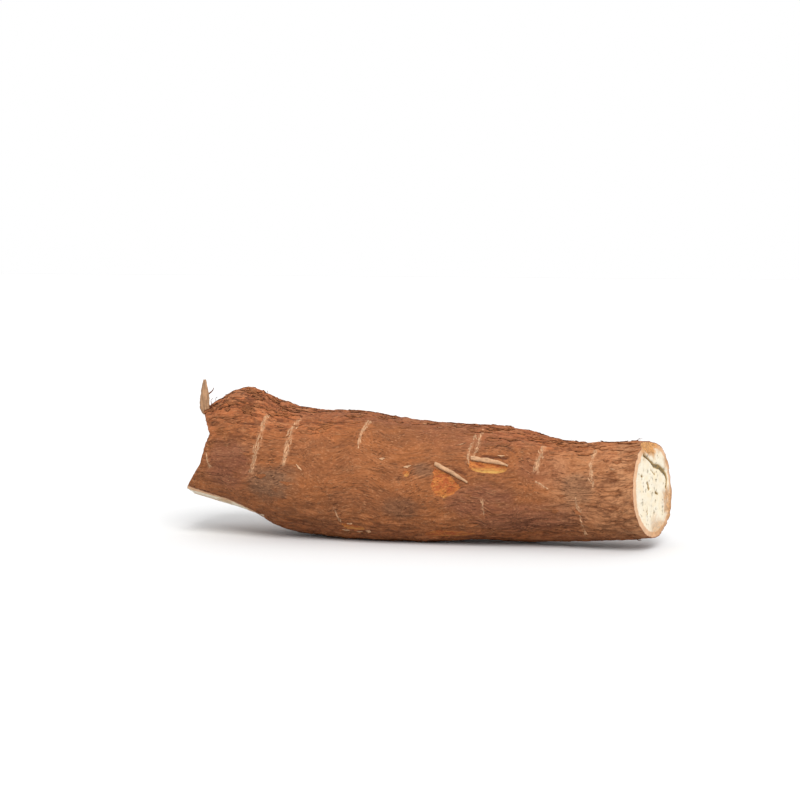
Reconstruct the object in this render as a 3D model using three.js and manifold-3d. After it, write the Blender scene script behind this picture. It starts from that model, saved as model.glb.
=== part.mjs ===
// A cassava root as it is sold: one thick, slightly bent tuber, sawn square at one end and hacked off
// at the other, lying on its side. Millimetres, +Z up, the root's length along X.
//
// The skin is a tube drawn through the stations below, with gentle lumps. One flat cut makes the sawn
// end, several strokes make the hacked end, and a third cut makes the narrow flat that the root rests
// on. A sliver of bark is left standing at the rim of the hacked end.
import * as THREE from "three";
import { mergeVertices } from "three/addons/utils/BufferGeometryUtils.js";
import Module from "manifold-3d";

const wasm = await Module();
wasm.setup();
const { Manifold, Mesh: SolidMesh } = wasm;
const degrees = THREE.MathUtils.degToRad;

// Stations along the root: place along X, sideways place of the middle, height of the underside,
// height of the top and half of the width.
const STATIONS = [
  { x: -142, middle: 3, under: 16, top: 56, half: 22 },
  { x: -128, middle: 3, under: 16, top: 61.5, half: 26 },
  { x: -115, middle: 3, under: 15.5, top: 69.5, half: 30 },
  { x: -103, middle: 3, under: 14, top: 76.5, half: 32.5 },
  { x: -91, middle: 2.5, under: 9.5, top: 75.2, half: 34 },
  { x: -78, middle: 2, under: 4.5, top: 69.8, half: 34 },
  { x: -60, middle: 1, under: 2, top: 66.6, half: 33.5 },
  { x: -35, middle: 0, under: 0.5, top: 66, half: 33 },
  { x: -8, middle: 0, under: 0, top: 63, half: 32.5 },
  { x: 20, middle: 0.5, under: 0.5, top: 61.5, half: 31.5 },
  { x: 48, middle: 0.5, under: 1.5, top: 60, half: 30 },
  { x: 72, middle: 0, under: 3, top: 54.5, half: 27.5 },
  { x: 94, middle: -1.5, under: 4.5, top: 53.5, half: 26 },
  { x: 115, middle: -4, under: 7, top: 54.5, half: 25.5 },
  { x: 140, middle: -7.5, under: 9, top: 55, half: 25.5 },
];
const RINGS = 62; // rings of points along the root
const AROUND = 56; // points in each ring

// Slow lumps on the skin: height, turns around the root, length of a wave along it and its start.
const LUMPS = [
  { height: 0.5, turns: 2, wave: 170, start: 0.6 },
  { height: 0.45, turns: 3, wave: 105, start: 2.1 },
  { height: 0.3, turns: 5, wave: 62, start: 4.0 },
];

// The sawn end: a point on the cut, how far its face is swung towards -Y and tipped up.
const SAWN_POINT = new THREE.Vector3(116, -4, 30);
const SAWN_SWING = 15;
const SAWN_TIP = 4.5;

// The hacked end: its outline seen from the side at HACK_Y, and the swing and dip of the blade,
// which ran through the root almost along Y.
const HACK_Y = -15;
const HACK_TOP = [-121.5, 77];
const HACK_NOTCH = [-112.5, 53.5];
const HACK_WAIST = [-117.2, 38];
const HACK_POINT = [-126.5, 25];
const HACK_UNDER = [-88, 14];
const HACK_LEAVE = [-76, 4];
const HACK_SWING = 12;
const HACK_DIP = 12;

// How much is taken off the underside for the flat that the root rests on.
const REST_FLAT = 0.8;

// The sliver of bark: its outline seen from the side, its place along Y and its thickness.
const SLIVER_OUTLINE = [
  [-120, 63.5], [-112, 59], [-113, 66], [-115.8, 67], [-116.6, 74], [-118.4, 82], [-120.2, 75],
  [-121.2, 66.5],
];
const SLIVER_Y = -8;
const SLIVER_THICK = 2.4;

const CLEAR = 60; // how far the cutting blocks reach past the root

// A closed three.js geometry as a solid.
function solid(geometry) {
  const bare = geometry.clone();
  bare.deleteAttribute("normal");
  bare.deleteAttribute("uv");
  const welded = mergeVertices(bare, 1e-4);
  return new Manifold(
    new SolidMesh({
      numProp: 3,
      vertProperties: new Float32Array(welded.attributes.position.array),
      triVerts: new Uint32Array(welded.index.array),
    }),
  );
}

// A solid back as a three.js geometry.
function geometryOf(body) {
  const mesh = body.getMesh();
  const geometry = new THREE.BufferGeometry();
  geometry.setAttribute("position", new THREE.BufferAttribute(mesh.vertProperties, 3));
  geometry.setIndex(new THREE.BufferAttribute(mesh.triVerts, 1));
  geometry.computeVertexNormals();
  return geometry;
}

// A smooth curve of one of the stations' values along X.
function stationCurve(value) {
  return new THREE.SplineCurve(STATIONS.map((s) => new THREE.Vector2(s.x, s[value])));
}

function lump(x, angle) {
  return LUMPS.reduce(
    (sum, l) => sum + l.height * Math.sin(l.turns * angle + (x / l.wave) * 2 * Math.PI + l.start),
    0,
  );
}

// The whole root before it was cut: a capped cylinder whose rings are moved onto the stations.
function uncutRoot() {
  const geometry = new THREE.CylinderGeometry(1, 1, 1, AROUND, RINGS);
  geometry.rotateZ(-Math.PI / 2); // the axis now runs along +X
  const curves = {
    middle: stationCurve("middle"),
    under: stationCurve("under"),
    top: stationCurve("top"),
    half: stationCurve("half"),
  };
  const place = geometry.attributes.position;
  for (let i = 0; i < place.count; i++) {
    const along = THREE.MathUtils.clamp(place.getX(i) + 0.5, 0, 1);
    const sideways = place.getY(i);
    const upwards = place.getZ(i);
    const { x, y: middle } = curves.middle.getPoint(along);
    const under = curves.under.getPoint(along).y;
    const top = curves.top.getPoint(along).y;
    const half = curves.half.getPoint(along).y;
    const out = lump(x, Math.atan2(upwards, sideways));
    place.setXYZ(
      i,
      x,
      middle + sideways * (half + out),
      (under + top) / 2 + upwards * ((top - under) / 2 + out),
    );
  }
  return solid(geometry);
}

// A block beyond the sawn end, its near face on the cut.
function beyondSawnEnd() {
  const size = 2 * CLEAR;
  const block = new THREE.BoxGeometry(size, size, size);
  block.translate(size / 2, 0, 0);
  block.rotateY(-degrees(SAWN_TIP));
  block.rotateZ(-degrees(SAWN_SWING));
  block.translate(SAWN_POINT.x, SAWN_POINT.y, SAWN_POINT.z);
  return solid(block);
}

// A prism beyond the hacked end: its outline has the strokes of the blade, and it is drawn
// out along the way that the blade ran.
function beyondHackedEnd() {
  const outline = new THREE.Shape();
  outline.moveTo(HACK_TOP[0], HACK_TOP[1]);
  outline.lineTo(HACK_NOTCH[0], HACK_NOTCH[1]);
  outline.lineTo(HACK_WAIST[0], HACK_WAIST[1]);
  outline.lineTo(HACK_POINT[0], HACK_POINT[1]);
  outline.lineTo(HACK_UNDER[0], HACK_UNDER[1]);
  outline.lineTo(HACK_LEAVE[0], HACK_LEAVE[1]);
  outline.lineTo(HACK_LEAVE[0], HACK_POINT[1] - CLEAR);
  outline.lineTo(HACK_POINT[0] - CLEAR, HACK_POINT[1] - CLEAR);
  outline.lineTo(HACK_POINT[0] - CLEAR, HACK_TOP[1] + CLEAR / 2);
  outline.lineTo(HACK_TOP[0] - 8, HACK_TOP[1] + CLEAR / 2);
  const prism = new THREE.ExtrudeGeometry(outline, { depth: 3 * CLEAR, bevelEnabled: false });
  prism.translate(0, 0, -1.5 * CLEAR);
  prism.rotateX(Math.PI / 2); // the outline now stands in XZ
  const place = prism.attributes.position;
  for (let i = 0; i < place.count; i++) {
    const away = place.getY(i);
    place.setX(i, place.getX(i) - away * Math.tan(degrees(HACK_SWING)));
    place.setZ(i, place.getZ(i) - away * Math.tan(degrees(HACK_DIP)));
  }
  prism.translate(0, HACK_Y, 0);
  return solid(prism);
}

// A slab below the flat that the root rests on.
function belowRestFlat() {
  const slab = new THREE.BoxGeometry(6 * CLEAR, 3 * CLEAR, CLEAR);
  slab.translate(0, 0, REST_FLAT - CLEAR / 2);
  return solid(slab);
}

function barkSliver() {
  const outline = new THREE.Shape(SLIVER_OUTLINE.map(([x, z]) => new THREE.Vector2(x, z)));
  const sliver = new THREE.ExtrudeGeometry(outline, { depth: SLIVER_THICK, bevelEnabled: false });
  sliver.rotateX(Math.PI / 2);
  sliver.translate(0, SLIVER_Y + SLIVER_THICK / 2, 0);
  return solid(sliver);
}

function cassavaRoot() {
  const body = uncutRoot()
    .subtract(beyondSawnEnd())
    .subtract(beyondHackedEnd())
    .add(barkSliver())
    .subtract(belowRestFlat());
  const geometry = geometryOf(body);
  const bark = new THREE.MeshStandardMaterial({ color: 0xa5643c, roughness: 0.85, metalness: 0 });
  const mesh = new THREE.Mesh(geometry, bark);
  mesh.name = "cassava_root";
  return mesh;
}

// The origin is the middle of the bottom of the root's bounding box.
const root = cassavaRoot();
const box = new THREE.Box3().setFromObject(root);
const middle = box.getCenter(new THREE.Vector3());
root.position.set(-middle.x, -middle.y, -box.min.z);

const group = new THREE.Group();
group.add(root);

export default group;
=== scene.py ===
"""A cassava root on a pale studio floor: bark, cut ends, peeled places, loose flakes and root hairs."""

import math
import random

import bmesh
import bpy
import numpy as np
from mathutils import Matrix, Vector, noise
from mathutils.bvhtree import BVHTree


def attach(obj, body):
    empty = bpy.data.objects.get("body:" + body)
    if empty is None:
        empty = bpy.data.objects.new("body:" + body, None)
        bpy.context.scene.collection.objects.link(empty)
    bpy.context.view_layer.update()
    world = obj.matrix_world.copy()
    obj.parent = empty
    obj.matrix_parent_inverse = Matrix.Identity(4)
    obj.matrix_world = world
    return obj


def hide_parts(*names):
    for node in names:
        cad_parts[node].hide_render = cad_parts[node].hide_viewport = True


bl_info = {
    "name": "Cassava Root",
    "version": (1, 0, 0),
    "blender": (4, 5, 0),
    "location": "View3D > Sidebar > Cassava",
    "description": "Builds a cassava root lying in a plain studio",
    "category": "Object",
}

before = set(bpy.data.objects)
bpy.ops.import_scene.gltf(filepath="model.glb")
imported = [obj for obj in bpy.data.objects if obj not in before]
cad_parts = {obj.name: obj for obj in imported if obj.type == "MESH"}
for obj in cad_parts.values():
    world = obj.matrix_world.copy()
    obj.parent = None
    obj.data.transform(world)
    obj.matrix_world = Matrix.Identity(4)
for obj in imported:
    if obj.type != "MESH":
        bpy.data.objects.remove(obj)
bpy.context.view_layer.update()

NODE = "cassava_root"
BODY = "root"
MM = 0.001

# A place on the bark is its distance along the root in millimetres from the origin, and its turn in
# degrees: 0 faces the front (-Y), 90 the top, 180 the back and -90 the underside.
SEAM_TURN = -90

MIDDLE_RADIUS = 30.0  # of the root in millimetres, which turns a length round it into degrees

# Pale scars that run round the root: corners as (place, turn), and the width in millimetres.
SCARS = [
    ([(-76.5, 56), (-78, 31), (-81, 4)], 2.6),
    ([(-60.5, 60), (-62.5, 41), (-63.6, 12)], 2.6),
    ([(-24.6, 64), (-25.2, 45), (-25.7, 28)], 1.2),
    ([(-22.4, 62), (-24.2, 48)], 0.9),
    ([(34.6, 69), (34.7, 39), (33.6, 24)], 1.2),
    ([(32.2, 56), (31.0, 34), (30.6, 20)], 1.3),
    ([(67.5, 46), (66.6, 30), (65.4, 12)], 2.8),
    ([(93.3, 48), (92.2, 22), (93.4, 0)], 2.2),
    ([(85.1, -12), (87.2, -30), (88.6, -55)], 1.3),
    ([(38.9, -15), (39.6, -26)], 1.1),
    ([(65.3, 3), (71.8, -4)], 0.9),
    ([(-38.0, -26), (-35.8, -40)], 1.0),
    ([(-106.2, 19), (-104.6, 6)], 0.9),
    ([(-92, 118), (-90, 150), (-93, 172)], 1.9),
    ([(-58, 104), (-55, 128)], 1.4),
    ([(-41, 196), (-43, 226)], 1.6),
    ([(-12, 118), (-15, 152)], 1.8),
    ([(17, 170), (20, 204), (18, 222)], 1.7),
    ([(46, 112), (43, 150)], 1.9),
    ([(76, 160), (79, 196)], 1.6),
    ([(101, 108), (99, 142)], 1.5),
    ([(104, 206), (102, 232)], 1.3),
]

# Dark cracks that stand out in the bark, and painted shadow lines just above the curls of peeled bark:
# corners as (place, turn), and the width in millimetres.
CRACKS_AND_CURL_SHADOWS = [
    ([(85.4, -22), (89.0, -37)], 0.7),
    ([(-93.0, 63), (-86.7, 61)], 1.0),
    ([(-100.4, 50), (-90.9, 48)], 0.7),
    ([(-87.3, 44), (-78.0, 46)], 1.0),
    ([(-76.1, 45), (-73.2, 42)], 0.7),
    ([(-68.2, 43), (-64.6, 45)], 0.8),
    ([(-67.6, 60), (-61.6, 59)], 0.8),
    ([(-54.5, 58), (-47.2, 55), (-44.0, 59)], 0.8),
    ([(48.9, 39), (54.1, 31)], 0.8),
    # painted shadow: these two lines darken the bark just above the two curls of peeled bark
    ([(38.3, 26), (50.6, 24)], 1.2),
    ([(24.9, 11), (30.2, 7)], 1.0),
    ([(-30.0, 112), (-14.0, 109)], 0.9),
    ([(22.0, 140), (35.0, 143)], 0.8),
    ([(62.0, 178), (78.0, 175)], 0.9),
    ([(-64.0, 196), (-48.0, 193)], 0.9),
]

# Places where the bark is peeled off: corners as (place, turn), the depth in millimetres, how yellow
# the lower edge is and how far up the yellow reaches in millimetres.
PEELED = [
    (
        [
            (13.6, 14), (13.8, 4), (13.4, -6), (15.6, -13.5), (20.0, -15), (25.0, -11), (28.0, -4),
            (22.3, 7.5),
        ],
        0.9, 0.6, 3.2,
    ),
    (
        [(30.6, 20.5), (32.4, 13), (36.0, 9), (46.0, 8.5), (50.4, 11), (51.6, 16), (41.2, 19)],
        0.9, 1.0, 4.4,
    ),
    ([(-1.6, 9.5), (-1.2, 3.5), (1.2, 3.0), (2.2, 8.5)], 0.4, 0.7, 3.2),
    ([(4.5, -49), (13, -46), (27, -47), (35, -52), (24, -58), (10, -57)], 0.4, 0.4, 3.2),
    ([(-36.5, -42), (-31, -41), (-23.0, -45), (-24.5, -50), (-33, -50)], 0.5, 0.5, 3.2),
    ([(-41, 142), (-33, 139), (-27, 149), (-36, 156)], 0.8, 0.7, 3.2),
    ([(50, 196), (60, 193), (67, 203), (56, 208)], 0.8, 0.7, 3.2),
]

# Rims where the bark is chipped back and the flesh shows: middle turn, half its reach in degrees and
# the width in millimetres.
HACKED_CHIPS = [(-60, 36, 3.8), (150, 30, 1.6)]
SAWN_CHIPS = [(200, 30, 1.2)]


# Soft-edged oval places on the bark: strength, middle as (place, turn), half length and half height
# in millimetres and, where it leans, the lean in degrees.
ROUGH_PLACES = [
    (1.0, (-88, 84), 40, 26),  # the shoulder at the hacked end
    (0.55, (-60, 62), 34, 13),
    (0.9, (66, 74), 36, 17),  # the bulge towards the sawn end
    (0.8, (-60, 170), 60, 26),
    (0.7, (30, 120), 60, 18),
    (0.6, (60, -120), 60, 20),
    (0.6, (106, 62), 16, 18),
    (0.45, (10, -66), 90, 12),
    (0.5, (0, 84), 70, 9),
]
SMOOTH_PLACES = [
    (1.0, (-106, -4), 11, 15),
    (0.5, (-40, 8), 60, 16),
]
RIDGED_PLACES = [
    (0.60, (28, -50), 100, 13),
    (0.35, (96, -28), 26, 24),
    (0.25, (92, 34), 26, 24),
    (0.40, (-90, 30), 22, 22),
]
STAINS = [
    (1.0, (-70.5, -6), 9, 12, 70),
    (0.8, (8.6, 10), 5, 4),
    (0.9, (86.6, -3), 7, 8),
    (0.6, (-3, -24), 9, 6),
    (0.7, (-20, 205), 14, 9),
    (0.6, (64, 150), 10, 7),
]
# Purple-brown zones of the bark, and painted shade: the long oval along the top darkens the top of the
# root.
PURPLE_AND_SHADE_PLACES = [
    (0.9, (-94, 10), 12, 13, 70),
    (0.8, (38, -16), 17, 9),
    (0.8, (62, -34), 26, 9),
    (0.5, (70, 14), 14, 8),
    (0.7, (-20, 160), 30, 14),
    (0.6, (70, 215), 24, 12),
    # painted shade along the top of the root, in the purple-brown colour
    (0.6, (-12, 80), 84, 11),
    (0.5, (32, 58), 30, 12),
]
PALE_PLACES = [
    (1.0, (113, 20), 13, 44),
    (0.6, (98, 24), 26, 44),
]


def smooth_step(low, high, value):
    """0 below low, 1 above high and a smooth rise between; with low over high it falls."""
    part = np.clip((value - low) / (high - low), 0.0, 1.0)
    return part * part * (3.0 - 2.0 * part)


# ---------------------------------------------------------------------------------------------
# The frame's own surface

LOOK_FROM = 80 * MM  # how far out the looks at the surface start
BARK_SURE = 60 * MM  # a place along the root, either way, where there is bark all round
BARK_PAST = 145 * MM  # a place along the root, either way, that is past both cut ends
HALVINGS = 18  # of the stretch between them, to find where the bark ends


class FrameSurface:
    """The CAD root's surface, looked at from outside towards the root's axis."""

    CUT_AREA = 2e-4  # square metres, over which a flat counts as a cut
    TIP_DEPTH = 0.5 * MM  # of the highest points, which are the tip of the sliver
    SLIVER_HALF = 2.2 * MM  # from the tip to either side, along Y, in which the sliver stands
    SLIVER_REACH = 10 * MM  # from the tip along X, up to which it stands
    SLIVER_FOOT = 50 * MM  # height over which it stands

    def __init__(self, axis_height):
        self.axis_height = axis_height
        mesh = bmesh.new()
        mesh.from_mesh(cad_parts[NODE].data)
        bmesh.ops.remove_doubles(mesh, verts=mesh.verts, dist=1e-6)
        mesh.normal_update()
        self.tree = BVHTree.FromBMesh(mesh)
        self.is_cut = self.cut_faces(mesh)
        top = max(vert.co.z for vert in mesh.verts)
        tips = [vert.co.copy() for vert in mesh.verts if vert.co.z > top - self.TIP_DEPTH]
        self.sliver_tip = sum(tips, Vector()) / len(tips)
        mesh.free()

    def cut_faces(self, mesh):
        """Which faces lie on one of the big flat cuts, other than the flat it rests on."""
        flats = {}
        for face in mesh.faces:
            reach = face.normal.dot(face.calc_center_median())
            key = (*(round(part, 3) for part in face.normal), round(reach, 4))
            area, way = flats.get(key, (0.0, Vector()))
            flats[key] = (area + face.calc_area(), way + face.normal * face.calc_area())
        self.cuts = [
            {"normal": way.normalized(), "reach": key[3], "area": area}
            for key, (area, way) in flats.items()
            if area > self.CUT_AREA and key[2] > -0.99
        ]
        return [any(self.lies_on(face, cut) for cut in self.cuts) for face in mesh.faces]

    def lies_on(self, face, cut):
        same_way = cut["normal"].dot(face.normal) > 0.9999
        return same_way and abs(cut["normal"].dot(face.calc_center_median()) - cut["reach"]) < 2e-4

    def on_sliver(self, x, y, z):
        """Whether places lie on the sliver of bark that stands at the hacked rim."""
        tip = self.sliver_tip
        beside = abs(y - tip.y) < self.SLIVER_HALF
        return beside & (x < tip.x + self.SLIVER_REACH) & (z > self.SLIVER_FOOT)

    def look_in(self, along, turn):
        """Where a look from outside meets the root: (distance from the axis, on a cut)."""
        way = Vector((0.0, -math.cos(turn), math.sin(turn)))
        axis = Vector((along, 0.0, self.axis_height))
        place, _, face, _ = self.tree.ray_cast(axis + way * LOOK_FROM, -way)
        if place is None:
            return 0.0, True
        return (place - axis).dot(way), self.is_cut[face]

    def rim(self, turn, inside, outside):
        """How far along the root the bark ends at this turn, between a place on it and one past it."""
        for _ in range(HALVINGS):
            middle = (inside + outside) / 2
            _, cut = self.look_in(middle, turn)
            if cut:
                outside = middle
            else:
                inside = middle
        return inside


# ---------------------------------------------------------------------------------------------
# Places on the bark and noise


def turn_apart(turns, turn):
    """Degrees from a turn, the short way round."""
    return (turns - turn + 180.0) % 360.0 - 180.0


def noise_at(points, length, width, octaves=1, shift=0.0):
    """Noise at points in millimetres, its lumps as long along the root and as wide across it as given."""
    scaled = points * np.array([1 / length, 1 / width, 1 / width]) + shift
    if octaves == 1:
        return np.array([noise.noise(p) for p in scaled.tolist()])
    return np.array([noise.fractal(p, 0.9, 2.0, octaves) for p in scaled.tolist()])


def scales_at(points, length, width, shift):
    """Scales of bark that long and wide: each point's way down its scale, the scale's own chance
    from 0 to 1, and how far the point is from the scale's border."""
    scaled = points * np.array([1 / length, 1 / width, 1 / width]) + shift
    found = [noise.voronoi(p) for p in scaled.tolist()]
    centres = np.array([places[0] for _, places in found])
    borders = np.array([distances[1] - distances[0] for distances, _ in found])
    apart = scaled - centres
    fall = -apart[:, 2] - 0.5 * apart[:, 1]
    chance = np.modf(np.abs(np.sin(centres @ np.array([12.9898, 78.233, 37.719]))) * 43758.5)[0]
    return fall, chance, borders


def smoothed(grid, passes):
    """A grid averaged with its neighbours: round the root without an end, along it up to its ends."""
    for _ in range(passes):
        grid = (np.roll(grid, 1, 1) + 2 * grid + np.roll(grid, -1, 1)) / 4
        padded = np.concatenate([grid[:1], grid, grid[-1:]])
        grid = (padded[:-2] + 2 * grid + padded[2:]) / 4
    return grid


def grid_normals(points):
    """Outward normals of a grid of points, its rows along the root and its columns round it."""
    along = np.gradient(points, axis=0)
    around = np.roll(points, -1, 1) - np.roll(points, 1, 1)
    normals = np.cross(along, around)
    normals /= np.linalg.norm(normals, axis=2, keepdims=True) + 1e-12
    middle = points.mean(axis=1, keepdims=True)
    outward = np.sign(((points - middle) * normals).sum(axis=2, keepdims=True).mean())
    return normals * outward


# ---------------------------------------------------------------------------------------------
# The root's skin


class Skin:
    """The bark as a grid: rows from the hacked rim to the sawn rim, columns round the root."""

    RIM_STEP = 1.1 * MM  # the most that the hacked rim may jump from one column to the next
    RIM_PASSES = 40
    SMOOTHING = 10  # passes over the radii, which hide the facets of the frame's surface

    def __init__(self, surface, rows, columns):
        self.surface = surface
        self.turns = np.radians(SEAM_TURN) + np.linspace(0, 2 * np.pi, columns, endpoint=False)
        left = np.array([surface.rim(t, -BARK_SURE, -BARK_PAST) for t in self.turns])
        left = self.eased(self.rim_beside_sliver(left))
        right = np.array([surface.rim(t, BARK_SURE, BARK_PAST) for t in self.turns])
        right = right - self.broken_back() * MM
        share = np.linspace(0, 1, rows + 1)[:, None]
        self.along = left[None, :] * (1 - share) + right[None, :] * share
        radii = np.array(
            [[surface.look_in(x, t)[0] for x, t in zip(row, self.turns)] for row in self.along]
        )
        radii = self.without_sliver(radii)
        self.radii = smoothed(radii, self.SMOOTHING)
        self.radii[0], self.radii[-1] = radii[0], radii[-1]
        self.points = self.place(self.radii)

    def broken_back(self):
        """How far the bark is broken back from the sawn end, in millimetres: most at the top."""
        turns = np.degrees(self.turns)
        ragged = np.array([noise.noise((3 * math.cos(t), 3 * math.sin(t), 4.0)) for t in self.turns])
        front = smooth_step(-30, -25, turns) * smooth_step(75, 40, turns)
        top = smooth_step(46, 66, turns) * smooth_step(112, 92, turns)
        return 0.1 + 0.7 * np.abs(ragged) + 0.35 * front + 3.3 * top

    def place(self, radii):
        """The grid's points for radii in metres from the root's axis."""
        across = -np.cos(self.turns)[None, :] * radii
        up = self.surface.axis_height + np.sin(self.turns)[None, :] * radii
        return np.stack([self.along, across, up], axis=2)

    def eased(self, rim):
        """The hacked rim moved inwards where it would jump between columns."""
        for _ in range(self.RIM_PASSES):
            beside = np.maximum(np.roll(rim, 1), np.roll(rim, -1))
            rim = np.maximum(rim, beside - self.RIM_STEP)
        return np.maximum(rim, (np.roll(rim, 1) + 2 * rim + np.roll(rim, -1)) / 4)

    def rim_beside_sliver(self, left):
        """The hacked rim with the columns that end on the sliver of bark bridged over."""
        tip = self.surface.sliver_tip
        radii = np.array([self.surface.look_in(x, t)[0] for x, t in zip(left, self.turns)])
        across = -np.cos(self.turns) * radii
        hit = (np.abs(across - tip.y) < self.surface.SLIVER_HALF) & (np.sin(self.turns) > 0)
        good = np.flatnonzero(~hit)
        return np.interp(np.arange(len(left)), good, left[good])

    def without_sliver(self, radii):
        """The radii with the sliver of bark that stands at the hacked rim bridged over."""
        points = self.place(radii)
        hit = self.surface.on_sliver(points[:, :, 0], points[:, :, 1], points[:, :, 2])
        for row in np.flatnonzero(hit.any(axis=1)):
            good = np.flatnonzero(~hit[row])
            radii[row] = np.interp(np.arange(radii.shape[1]), good, radii[row][good])
        return radii


class Places:
    """The skin's points as places on the bark, in millimetres and degrees."""

    FAR = 1e3  # further than any distance on the root

    def __init__(self, skin):
        shape = skin.radii.shape
        self.points = skin.points.reshape(-1, 3) * 1000
        self.along = self.points[:, 0]
        self.turns = np.degrees(np.broadcast_to(skin.turns, shape)).reshape(-1)
        self.radii = skin.radii.reshape(-1) * 1000
        self.from_hacked_rim = self.along - np.broadcast_to(skin.along[0], shape).reshape(-1) * 1000
        self.from_sawn_rim = np.broadcast_to(skin.along[-1], shape).reshape(-1) * 1000 - self.along
        self.wavy = noise_at(self.points, 6, 4, 3, 11.0)

    def round_from(self, turn):
        """Millimetres round the root from a turn."""
        return np.radians(turn_apart(self.turns, turn)) * self.radii

    def near_line(self, corners):
        """Distance to a line of corners drawn on the bark."""
        nearest = np.full(self.along.shape, self.FAR)
        for (x_a, turn_a), (x_b, turn_b) in zip(corners, corners[1:]):
            run = x_b - x_a
            rise = np.radians(turn_apart(turn_b, turn_a)) * self.radii
            away = self.along - x_a
            up = self.round_from(turn_a)
            share = np.clip((away * run + up * rise) / (run * run + rise * rise + 1e-9), 0.0, 1.0)
            nearest = np.minimum(nearest, np.hypot(away - share * run, up - share * rise))
        return nearest

    def inside_outline(self, corners):
        """How deep places lie inside an outline on the bark; negative outside it."""
        middle = sum(turn for _, turn in corners) / len(corners)
        up = self.round_from(middle)
        flat = [(x, math.radians(turn - middle) * MIDDLE_RADIUS) for x, turn in corners]
        nearest = np.full(self.along.shape, self.FAR)
        inside = np.zeros(self.along.shape, dtype=bool)
        for (a_x, a_y), (b_x, b_y) in zip(flat, flat[1:] + flat[:1]):
            run, rise = b_x - a_x, b_y - a_y
            away = self.along - a_x
            share = np.clip((away * run + (up - a_y) * rise) / (run * run + rise * rise), 0, 1)
            nearest = np.minimum(nearest, np.hypot(away - share * run, up - a_y - share * rise))
            crosses = (a_y > up) != (b_y > up)
            if rise != 0:
                inside ^= crosses & (self.along < a_x + (up - a_y) / rise * run)
        return np.where(inside, nearest, -nearest)

    def oval(self, place, length, height, lean=0.0):
        """1 inside an oval on the bark with a ragged, soft edge, 0 outside it."""
        away = self.along - place[0]
        up = self.round_from(place[1])
        slant = math.radians(lean)
        edge = np.hypot(
            (away * math.cos(slant) - up * math.sin(slant)) / length,
            (away * math.sin(slant) + up * math.cos(slant)) / height,
        )
        return smooth_step(1.35, 0.65, edge + 0.25 * self.wavy)

    def strongest(self, ovals):
        """The strongest of several ovals at each place."""
        return np.maximum.reduce([strength * self.oval(*where) for strength, *where in ovals])

    def chipped(self):
        """1 where the bark is chipped back from the cut ends."""
        chipped = np.zeros(len(self.along))
        for chips, inwards in (
            (HACKED_CHIPS, self.from_hacked_rim),
            (SAWN_CHIPS, self.from_sawn_rim),
        ):
            for middle, reach, wide in chips:
                apart = np.abs(turn_apart(self.turns, middle)) / reach
                width = wide * np.clip(1.3 - apart ** 2, 0, 1)
                chip = smooth_step(0.3, -0.3, inwards - width + 0.72 * self.wavy) * (apart < 1.14)
                chipped = np.maximum(chipped, chip)
        return chipped

    def peeled(self):
        """Where the bark is peeled off, how deep it is sunk there and how yellow it is."""
        peel, sunk, yellow = (np.zeros(len(self.along)) for _ in range(3))
        for corners, depth, yellowness, reach in PEELED:
            inside = self.inside_outline(corners) + 0.8 * self.wavy * min(depth, 0.6)
            peel = np.maximum(peel, smooth_step(-0.25, 0.35, inside))
            sunk = np.maximum(sunk, depth * smooth_step(-0.3, 0.7, inside))
            low = self.round_from(min(turn for _, turn in corners))
            lower_edge = smooth_step(reach, 0.6, low) * smooth_step(-0.2, 0.4, inside)
            yellow = np.maximum(yellow, yellowness * lower_edge)
        return peel, sunk, yellow

    def scars_and_cracks(self):
        """Masks of the scars that run round the root and of the cracks that stand out, with the painted
        shadow lines above the curls of peeled bark.
        """
        scar, crack = np.zeros(len(self.along)), np.zeros(len(self.along))
        ragged = noise_at(self.points, 1.6, 2.2, 2, 83.0)
        for corners, wide in SCARS:
            away = self.near_line(corners) + 0.9 * ragged
            scar = np.maximum(scar, smooth_step(wide * 0.5 + 0.5, wide * 0.3 - 0.5, away))
        for corners, wide in CRACKS_AND_CURL_SHADOWS:
            away = self.near_line(corners) + 0.35 * ragged
            crack = np.maximum(crack, smooth_step(wide * 0.5 + 0.45, wide * 0.5 - 0.25, away))
        return scar, crack


def scaly_bark(places, swayed, ridged, plain, step):
    """The bark's scales, big ones with small ones on them: their heights where a scale stands out
    by that step, the cracks between them and a tone for each."""
    spread = noise_at(places.points, 22, 12, 2, 31.0)
    fall, chance, border = scales_at(swayed, 17, 4.2, 5.0)
    height = step * (0.55 * chance + 0.9 * fall) * (0.14 * plain + 1.0 * ridged)
    gap = smooth_step(0.12, 0.02, border) * smooth_step(-0.05, 0.30, spread + 0.6 * ridged - 0.25)
    small_fall, small_chance, small_border = scales_at(swayed, 8, 1.8, 45.0)
    height += step / 2 * (0.5 * small_chance + 0.9 * small_fall) * (0.30 * plain + 0.9 * ridged)
    open_here = spread + 0.55 * ridged + 0.25 * small_chance - 0.22
    small_gap = smooth_step(0.15, 0.02, small_border) * smooth_step(0.05, 0.35, open_here)
    crack = np.maximum(gap * (0.40 + 0.55 * ridged), 0.6 * small_gap * plain)
    return height, crack, (chance + small_chance) / 2


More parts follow.
